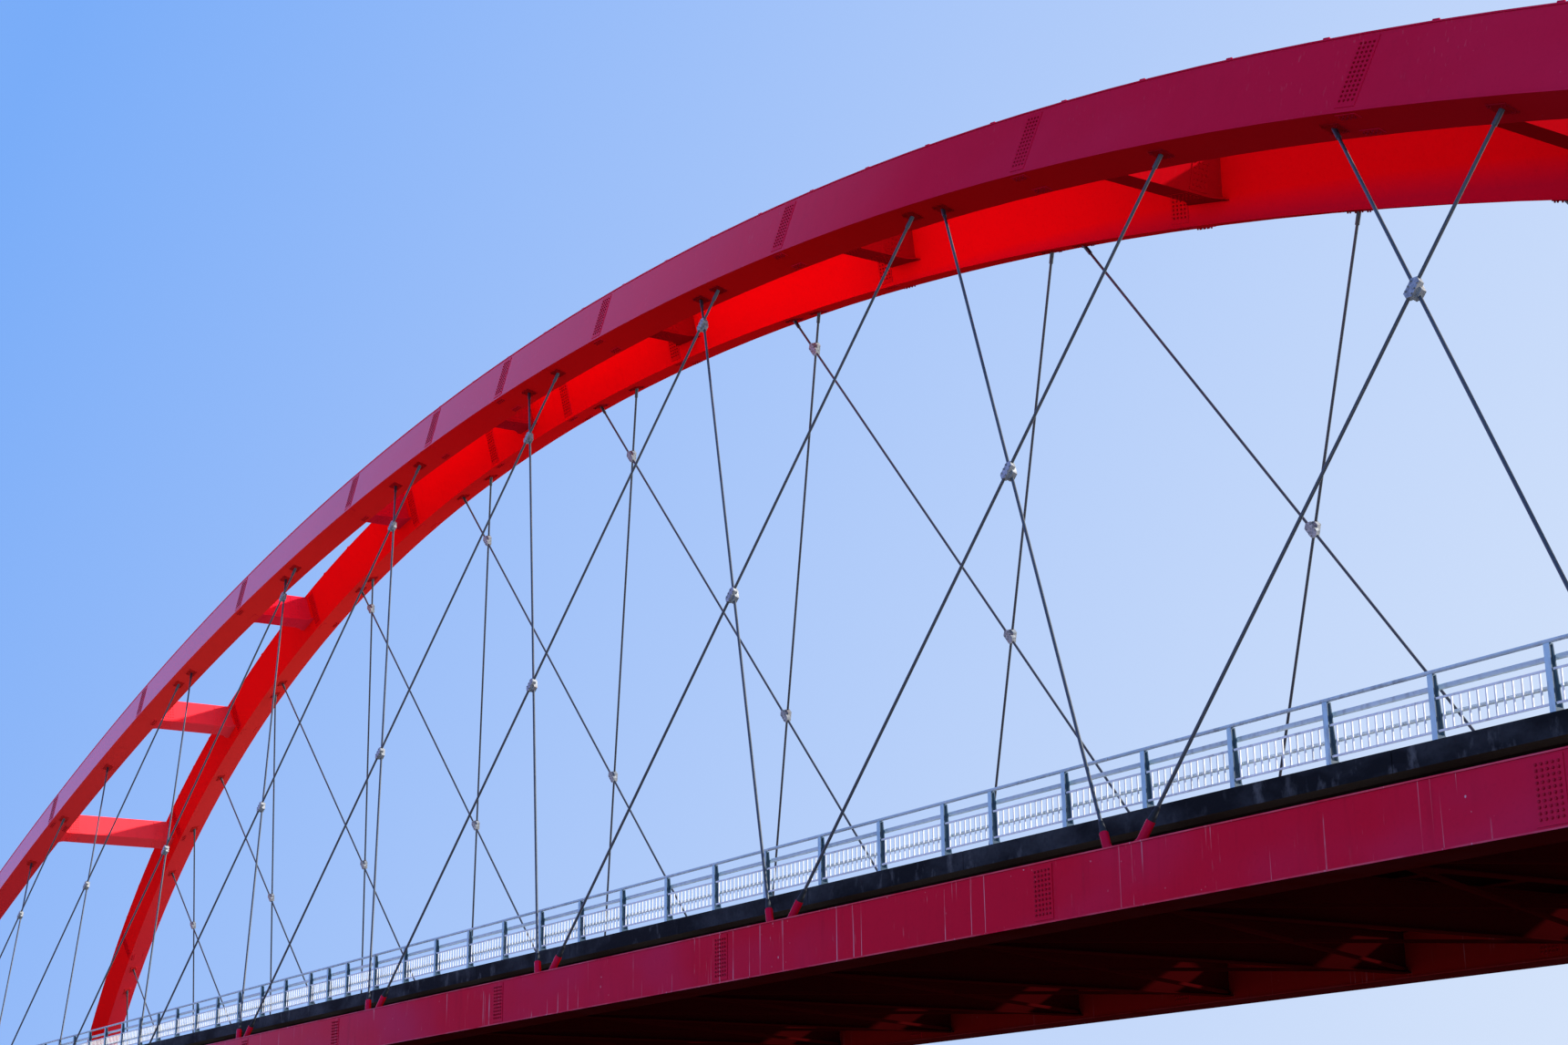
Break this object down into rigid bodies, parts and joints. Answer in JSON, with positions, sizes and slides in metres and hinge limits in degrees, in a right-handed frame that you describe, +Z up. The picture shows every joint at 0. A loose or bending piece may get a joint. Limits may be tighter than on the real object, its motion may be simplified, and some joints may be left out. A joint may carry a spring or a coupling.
{
  "type": "scale model of a tied arch road bridge",
  "caption": "Tied arch road bridge with two inward-leaning box ribs, crossed inclined hangers, cross struts, a railed deck and abutments.",
  "frame": {"origin": "ground level under mid-span, on the bridge's centreline", "axes": "+X along the bridge, +Y across it from the near to the far side, +Z up"},
  "size_m": [13.32, 1.36, 2.6743],
  "materials": {
    "rib_paint": "weathered semi-gloss red paint",
    "strut_paint": "weathered semi-gloss red paint",
    "girder_paint": "weathered semi-gloss red paint",
    "floor_paint": "dull red paint in the shade",
    "cable": "dark sheathing, satin",
    "zinc": "dull galvanised",
    "boot": "matt",
    "concrete": "weathered concrete",
    "abutment_concrete": "weathered concrete",
    "asphalt": "worn asphalt",
    "railing_paint": "pale blue-grey paint",
    "bearing_steel": "dark painted steel"
  },
  "bodies": {
    "root": {"abutment_left": "abutment_concrete", "abutment_right": "abutment_concrete", "arch_anchor_plates": "rib_paint", "arch_rib_far": "rib_paint", "arch_rib_near": "rib_paint", "baluster_panels_far_left": "railing_paint", "baluster_panels_far_middle": "railing_paint", "baluster_panels_far_right": "railing_paint", "baluster_panels_near_left": "railing_paint", "baluster_panels_near_middle": "railing_paint", "baluster_panels_near_right": "railing_paint", "bearings": "bearing_steel", "cross_strut_crown": "strut_paint", "cross_struts_inner": "strut_paint", "cross_struts_low": "strut_paint", "cross_struts_middle": "strut_paint", "cross_struts_outer": "strut_paint", "deck_slab": "concrete", "expansion_joints": "bearing_steel", "floor_beams": "floor_paint", "girder_splices_far": "girder_paint", "girder_splices_near": "girder_paint", "hanger_boots": "boot", "hanger_clamps_far": "zinc", "hanger_clamps_near": "zinc", "hanger_sockets_far": "rib_paint", "hanger_sockets_near": "rib_paint", "hangers_far_leaning_left": "cable", "hangers_far_leaning_right": "cable", "hangers_near_leaning_left": "cable", "hangers_near_leaning_right": "cable", "kerb_far": "concrete", "kerb_near": "concrete", "lateral_bracing": "floor_paint", "railing_posts_far": "railing_paint", "railing_posts_near": "railing_paint", "railing_rails_far": "railing_paint", "railing_rails_near": "railing_paint", "rib_splices_far": "rib_paint", "rib_splices_near": "rib_paint", "rib_top_lugs": "rib_paint", "road_surface": "asphalt", "stringers": "floor_paint", "tie_girder_far": "girder_paint", "tie_girder_near": "girder_paint"}
  },
  "joints": []
}
